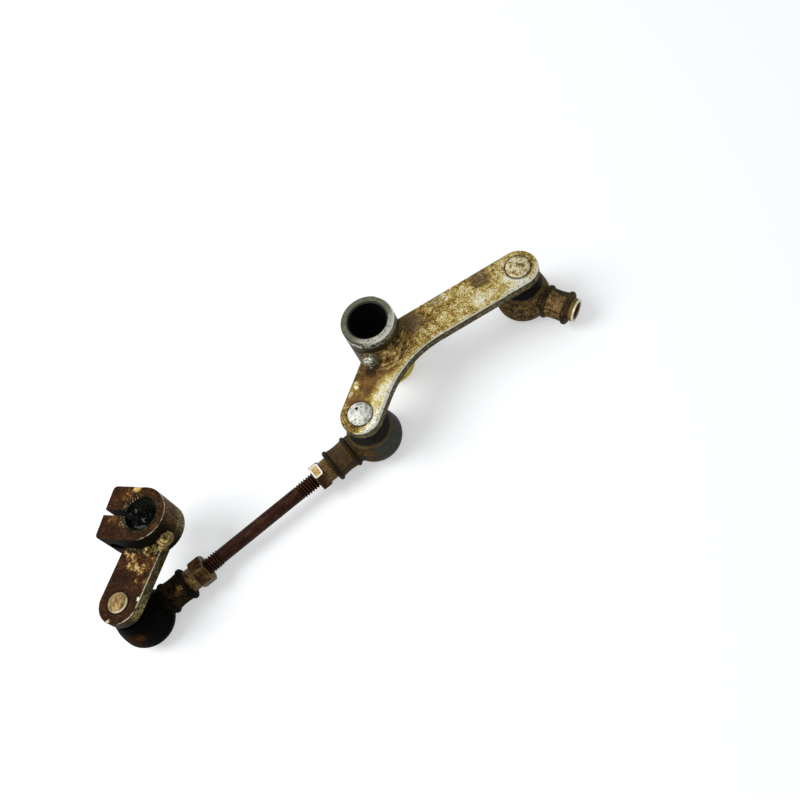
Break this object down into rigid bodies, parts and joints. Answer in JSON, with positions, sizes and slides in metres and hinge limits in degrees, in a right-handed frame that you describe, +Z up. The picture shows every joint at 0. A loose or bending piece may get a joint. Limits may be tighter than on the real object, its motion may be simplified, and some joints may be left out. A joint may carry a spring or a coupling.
{
  "type": "shift linkage",
  "caption": "Gear-shift linkage: bellcrank on a pivot tube, link rod with booted ball joints, and a serrated clamp lever, worn and rusty.",
  "frame": {"origin": "on the pivot tube's axis, level with its lower end, where the linkage stands on a flat bench", "axes": "+Z up along the pivot bore; +X along the line from the short arm's ball stud to the long arm's; the tube is on the +Y side of that line"},
  "size_m": [0.2636, 0.082, 0.0452],
  "materials": {
    "bellcrank steel": "golden-brown rust stain on worn bare steel",
    "tube steel": "bare steel with brown rust, yellow paint mark at the lower end",
    "weld": "rusty weld bead",
    "clamp weld": "brassy, crusted weld bead",
    "clamp lever steel": "dark brown rust with golden flakes",
    "rod steel": "dark red-brown rust",
    "nut steel": "dull yellow plating, worn bright",
    "stud steel": "bright pitted steel",
    "socket steel": "dirty yellow-zinc plated steel",
    "boot rubber": "dirty black rubber",
    "seat plastic": "greased nylon"
  },
  "bodies": {
    "bellcrank": {"bellcrank_plate": "bellcrank steel", "pivot_tube": "tube steel", "tube_weld_top": "weld", "tube_weld_bottom": "weld", "ball_stud_a": "stud steel", "ball_stud_c": "stud steel"},
    "lower_seat_a": {"seat_lower_a": "seat plastic"},
    "upper_seat_a": {"seat_upper_a": "seat plastic"},
    "rod_assembly": {"socket_housing_a": "socket steel", "end_cap_a": "socket steel", "dust_boot_a": "boot rubber", "link_rod": "rod steel", "jam_nut_a": "nut steel", "jam_nut_b": "nut steel", "socket_housing_b": "socket steel", "end_cap_b": "socket steel", "dust_boot_b": "boot rubber"},
    "upper_seat_b": {"seat_upper_b": "seat plastic"},
    "lower_seat_b": {"seat_lower_b": "seat plastic"},
    "clamp_lever": {"ball_stud_b": "stud steel", "clamp_lever_plate": "clamp lever steel", "clamp_collar": "clamp lever steel", "clamp_weld": "clamp weld"},
    "lower_seat_c": {"seat_lower_c": "seat plastic"},
    "upper_seat_c": {"seat_upper_c": "seat plastic"},
    "free_rod_end": {"socket_housing_c": "socket steel", "end_cap_c": "socket steel", "dust_boot_c": "boot rubber"}
  },
  "joints": [
    {"name": "swivel_a", "type": "hinge", "parent": "bellcrank", "child": "lower_seat_a", "pos_m": [-0.0317, -0.0273, 0.0105], "axis": [0, 0, 1], "range_deg": [-95, 100]},
    {"name": "pitch_a", "type": "hinge", "parent": "lower_seat_a", "child": "upper_seat_a", "pos_m": [-0.0317, -0.0273, 0.0105], "axis": [-0.0802, -0.9968, 0], "range_deg": [-8, 8]},
    {"name": "roll_a", "type": "hinge", "parent": "upper_seat_a", "child": "rod_assembly", "pos_m": [-0.0317, -0.0273, 0.0105], "axis": [-0.9968, 0.0802, 0], "range_deg": [-8, 8]},
    {"name": "roll_b", "type": "hinge", "parent": "rod_assembly", "child": "upper_seat_b", "pos_m": [-0.16656, -0.01645, 0.0105], "axis": [-0.9968, 0.0802, 0], "range_deg": [-13.5, 2.5]},
    {"name": "pitch_b", "type": "hinge", "parent": "upper_seat_b", "child": "lower_seat_b", "pos_m": [-0.16656, -0.01645, 0.0105], "axis": [0.0802, 0.9968, 0], "range_deg": [-10.8, 5.2]},
    {"name": "swivel_b", "type": "hinge", "parent": "lower_seat_b", "child": "clamp_lever", "pos_m": [-0.16656, -0.01645, 0.0105], "axis": [0.0556, 0.092, 0.9942], "continuous": true},
    {"name": "swivel_c", "type": "hinge", "parent": "bellcrank", "child": "lower_seat_c", "pos_m": [0.0677, -0.0273, 0.0105], "axis": [0, 0, 1], "continuous": true},
    {"name": "pitch_c", "type": "hinge", "parent": "lower_seat_c", "child": "upper_seat_c", "pos_m": [0.0677, -0.0273, 0.0105], "axis": [0.9367, 0.3502, 0], "range_deg": [-8, 8]},
    {"name": "roll_c", "type": "hinge", "parent": "upper_seat_c", "child": "free_rod_end", "pos_m": [0.0677, -0.0273, 0.0105], "axis": [0.3502, -0.9367, 0], "range_deg": [-8, 8]}
  ]
}
